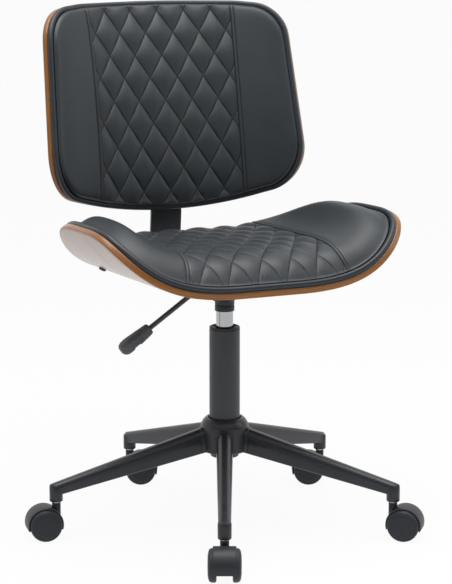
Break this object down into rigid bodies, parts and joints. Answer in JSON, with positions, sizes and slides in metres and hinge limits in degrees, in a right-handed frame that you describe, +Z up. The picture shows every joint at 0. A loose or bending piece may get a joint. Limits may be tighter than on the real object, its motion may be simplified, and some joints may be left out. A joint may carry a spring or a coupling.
{
  "type": "office chair",
  "caption": "Swivel office chair: bentwood seat and back shells with quilted pads, gas lift, star base on twin-wheel casters.",
  "frame": {"origin": "on the floor, under the middle of the whole chair's outline seen from above", "axes": "+Z up; the chair faces -Y, and +X points to the left hand of a person sitting in it"},
  "size_m": [0.5985, 0.6225, 0.8389],
  "materials": {
    "leather": "satin",
    "piping": "satin",
    "walnut_ply": "satin",
    "black_steel": "satin",
    "chrome": "polished",
    "bright_steel": "satin",
    "black_plastic": "matte",
    "wheel_plastic": "matte"
  },
  "bodies": {
    "base": {"base_hub": "black_steel", "base_leg_1": "black_steel", "base_leg_2": "black_steel", "base_leg_3": "black_steel", "base_leg_4": "black_steel", "base_leg_5": "black_steel", "column_tube": "black_steel", "column_sleeve": "black_plastic", "thrust_bearing": "bright_steel"},
    "lift_rod": {"piston_rod": "bright_steel", "rod_clip": "bright_steel"},
    "seat": {"gas_cylinder": "chrome", "lift_bush": "black_plastic", "mechanism_housing": "black_steel", "swivel_plate": "black_steel", "plate_bolt_1": "black_steel", "plate_bolt_2": "black_steel", "plate_bolt_3": "black_steel", "plate_bolt_4": "black_steel", "seat_shell": "walnut_ply", "seat_cushion": "leather", "seat_piping": "piping", "cushion_screw_left": "black_steel", "cushion_screw_right": "black_steel", "back_bracket": "black_steel", "bracket_bolt_1": "black_steel", "bracket_bolt_2": "black_steel", "back_bolt_1": "black_steel", "back_bolt_2": "black_steel", "back_shell": "walnut_ply", "back_cushion": "leather", "back_piping": "piping"},
    "lever": {"lever_rod": "black_steel", "lever_paddle": "black_plastic"},
    "valve_button": {"valve_button": "bright_steel"},
    "caster_1": {"caster_stem_1": "black_steel", "caster_housing_1": "black_plastic", "caster_axle_1": "bright_steel"},
    "wheel_left_1": {"caster_wheel_left_1": "wheel_plastic"},
    "wheel_right_1": {"caster_wheel_right_1": "wheel_plastic"},
    "caster_2": {"caster_stem_2": "black_steel", "caster_housing_2": "black_plastic", "caster_axle_2": "bright_steel"},
    "wheel_left_2": {"caster_wheel_left_2": "wheel_plastic"},
    "wheel_right_2": {"caster_wheel_right_2": "wheel_plastic"},
    "caster_3": {"caster_stem_3": "black_steel", "caster_housing_3": "black_plastic", "caster_axle_3": "bright_steel"},
    "wheel_left_3": {"caster_wheel_left_3": "wheel_plastic"},
    "wheel_right_3": {"caster_wheel_right_3": "wheel_plastic"},
    "caster_4": {"caster_stem_4": "black_steel", "caster_housing_4": "black_plastic", "caster_axle_4": "bright_steel"},
    "wheel_left_4": {"caster_wheel_left_4": "wheel_plastic"},
    "wheel_right_4": {"caster_wheel_right_4": "wheel_plastic"},
    "caster_5": {"caster_stem_5": "black_steel", "caster_housing_5": "black_plastic", "caster_axle_5": "bright_steel"},
    "wheel_left_5": {"caster_wheel_left_5": "wheel_plastic"},
    "wheel_right_5": {"caster_wheel_right_5": "wheel_plastic"}
  },
  "joints": [
    {"name": "seat_swivel", "type": "hinge", "parent": "base", "child": "lift_rod", "pos_m": [0.035, 0.001, 0.12], "axis": [0, 0, 1], "continuous": true},
    {"name": "lift_height", "type": "slide", "parent": "lift_rod", "child": "seat", "axis": [0, 0, 1], "range_m": [0, 0.1]},
    {"name": "lever_pull", "type": "hinge", "parent": "seat", "child": "lever", "pos_m": [0.005, 0.001, 0.3885], "axis": [0, 1, 0], "range_deg": [0, 6.5], "stiffness_Nm_per_rad": 1.5, "springref_deg": -4.58},
    {"name": "valve_press", "type": "slide", "parent": "seat", "child": "valve_button", "axis": [0, 0, -1], "range_m": [0, 0.0038]},
    {"name": "caster_swivel_1", "type": "hinge", "parent": "base", "child": "caster_1", "pos_m": [-0.08092, -0.25936, 0.06], "axis": [0, 0, 1], "continuous": true},
    {"name": "wheel_roll_left_1", "type": "hinge", "parent": "caster_1", "child": "wheel_left_1", "pos_m": [-0.08905, -0.27763, 0.02568], "axis": [0.9135, -0.4067, 0], "continuous": true},
    {"name": "wheel_roll_right_1", "type": "hinge", "parent": "caster_1", "child": "wheel_right_1", "pos_m": [-0.08905, -0.27763, 0.02568], "axis": [0.9135, -0.4067, 0], "continuous": true},
    {"name": "caster_swivel_2", "type": "hinge", "parent": "base", "child": "caster_2", "pos_m": [0.2468, -0.1897, 0.06], "axis": [0, 0, 1], "continuous": true},
    {"name": "wheel_roll_left_2", "type": "hinge", "parent": "caster_2", "child": "wheel_left_2", "pos_m": [0.26212, -0.20256, 0.02568], "axis": [0.6428, 0.766, 0], "continuous": true},
    {"name": "wheel_roll_right_2", "type": "hinge", "parent": "caster_2", "child": "wheel_right_2", "pos_m": [0.26212, -0.20256, 0.02568], "axis": [0.6428, 0.766, 0], "continuous": true},
    {"name": "caster_swivel_3", "type": "hinge", "parent": "base", "child": "caster_3", "pos_m": [0.28182, 0.1435, 0.06], "axis": [0, 0, 1], "continuous": true},
    {"name": "wheel_roll_left_3", "type": "hinge", "parent": "caster_3", "child": "wheel_left_3", "pos_m": [0.26355, 0.15163, 0.02568], "axis": [-0.4067, -0.9135, 0], "continuous": true},
    {"name": "wheel_roll_right_3", "type": "hinge", "parent": "caster_3", "child": "wheel_right_3", "pos_m": [0.26355, 0.15163, 0.02568], "axis": [-0.4067, -0.9135, 0], "continuous": true},
    {"name": "caster_swivel_4", "type": "hinge", "parent": "base", "child": "caster_4", "pos_m": [-0.02425, 0.27977, 0.06], "axis": [0, 0, 1], "continuous": true},
    {"name": "wheel_roll_left_4", "type": "hinge", "parent": "caster_4", "child": "wheel_left_4", "pos_m": [-0.00598, 0.27164, 0.02568], "axis": [0.4067, 0.9135, 0], "continuous": true},
    {"name": "wheel_roll_right_4", "type": "hinge", "parent": "caster_4", "child": "wheel_right_4", "pos_m": [-0.00598, 0.27164, 0.02568], "axis": [0.4067, 0.9135, 0], "continuous": true},
    {"name": "caster_swivel_5", "type": "hinge", "parent": "base", "child": "caster_5", "pos_m": [-0.24844, 0.03079, 0.06], "axis": [0, 0, 1], "continuous": true},
    {"name": "wheel_roll_left_5", "type": "hinge", "parent": "caster_5", "child": "wheel_left_5", "pos_m": [-0.26824, 0.03357, 0.02568], "axis": [-0.1392, -0.9903, 0], "continuous": true},
    {"name": "wheel_roll_right_5", "type": "hinge", "parent": "caster_5", "child": "wheel_right_5", "pos_m": [-0.26824, 0.03357, 0.02568], "axis": [-0.1392, -0.9903, 0], "continuous": true}
  ],
  "couplings": [
    {"joint": "valve_press", "follows": "lever_pull", "m_per_rad": 0.0325}
  ]
}
